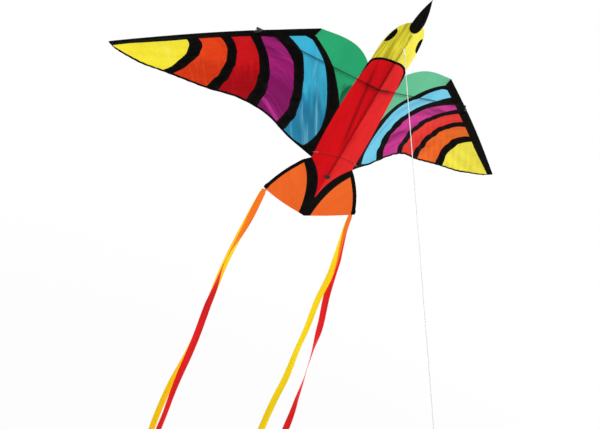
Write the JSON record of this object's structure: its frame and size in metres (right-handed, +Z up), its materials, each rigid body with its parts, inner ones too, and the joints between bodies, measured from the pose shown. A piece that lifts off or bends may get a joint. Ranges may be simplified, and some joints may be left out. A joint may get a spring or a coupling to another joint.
{
  "type": "delta kite",
  "caption": "Bird-shaped single-line kite with striped rainbow wings, a vee-marked tail fan, hanging ribbons and a taut flying line.",
  "frame": {"origin": "tow point, where the flying line leaves the belly seam", "axes": "+X towards one wing, +Y to the back of the kite, away from the line, +Z up, with the ribbons hanging down -Z; the kite flies leaning forward, its nose towards -Y"},
  "size_m": [1.508, 1.26, 1.6715],
  "materials": {
    "cloth_yellow": "satin ripstop",
    "cloth_orange": "satin ripstop",
    "cloth_red": "satin ripstop",
    "cloth_purple": "satin ripstop",
    "cloth_blue": "satin ripstop",
    "cloth_green": "satin ripstop",
    "cloth_black": "woven",
    "ribbon_yellow": "satin",
    "ribbon_red": "satin",
    "black_fibre": "smooth pultruded",
    "pale_fibre": "smooth pultruded",
    "moulded_black": "moulded",
    "vinyl_tube": "smooth",
    "braid": "braided"
  },
  "bodies": {
    "airframe": {"spine_rod": "black_fibre", "spine_sleeve": "cloth_black", "spine_nose_cap": "moulded_black", "spine_tail_tie": "moulded_black", "centre_tube": "vinyl_tube", "belly_batten": "pale_fibre", "tow_loop": "braid", "line_knot": "braid", "flying_line": "braid", "line_hand_loop": "braid"},
    "wing_left": {"edge_rod_left": "black_fibre", "edge_sleeve_inner_left": "cloth_black", "edge_sleeve_outer_left": "cloth_black", "edge_connector_left": "moulded_black", "spreader_rod_left": "black_fibre", "tip_pocket_left": "cloth_black", "panel_yellow_left": "cloth_yellow", "panel_orange_left": "cloth_orange", "panel_red_left": "cloth_red", "panel_purple_left": "cloth_purple", "panel_blue_left": "cloth_blue", "panel_green_left": "cloth_green", "wing_trim_left": "cloth_black", "belly_panel_left": "cloth_red", "head_panel_left": "cloth_yellow", "eye_patch_left": "cloth_black", "beak_half_left": "cloth_black", "collar_left": "cloth_black", "tail_stripe_left": "cloth_black", "tail_panel_left": "cloth_orange", "tail_edge_sleeve_left": "cloth_black", "tail_edge_rod_left": "black_fibre"},
    "wing_right": {"edge_rod_right": "black_fibre", "edge_sleeve_inner_right": "cloth_black", "edge_sleeve_outer_right": "cloth_black", "edge_connector_right": "moulded_black", "spreader_rod_right": "black_fibre", "tip_pocket_right": "cloth_black", "panel_yellow_right": "cloth_yellow", "panel_orange_right": "cloth_orange", "panel_red_right": "cloth_red", "panel_purple_right": "cloth_purple", "panel_blue_right": "cloth_blue", "panel_green_right": "cloth_green", "wing_trim_right": "cloth_black", "belly_panel_right": "cloth_red", "head_panel_right": "cloth_yellow", "eye_patch_right": "cloth_black", "beak_half_right": "cloth_black", "collar_right": "cloth_black", "tail_stripe_right": "cloth_black", "tail_panel_right": "cloth_orange", "tail_edge_sleeve_right": "cloth_black", "tail_edge_rod_right": "black_fibre"},
    "ribbons_left": {"ribbon_left_yellow": "ribbon_yellow", "ribbon_left_red": "ribbon_red"},
    "ribbons_right": {"ribbon_right_yellow": "ribbon_yellow", "ribbon_right_red": "ribbon_red"}
  },
  "joints": [
    {"name": "wing_left_flap", "type": "hinge", "parent": "airframe", "child": "wing_left", "pos_m": [0, 0, 0], "axis": [0, 0.2699, -0.9629], "range_deg": [-8, 20], "stiffness_Nm_per_rad": 1.5, "deforming": ["centre_tube", "belly_batten"]},
    {"name": "wing_right_flap", "type": "hinge", "parent": "airframe", "child": "wing_right", "pos_m": [0, 0, 0], "axis": [0, -0.2699, 0.9629], "range_deg": [-8, 20], "stiffness_Nm_per_rad": 1.5, "deforming": ["centre_tube", "belly_batten"]},
    {"name": "ribbons_left_swing", "type": "hinge", "parent": "wing_left", "child": "ribbons_left", "pos_m": [-0.1705, 0.1688, -0.5577], "axis": [1, 0, 0], "range_deg": [-60, 60]},
    {"name": "ribbons_right_swing", "type": "hinge", "parent": "wing_right", "child": "ribbons_right", "pos_m": [0.1705, 0.1688, -0.5577], "axis": [1, 0, 0], "range_deg": [-60, 60]}
  ]
}
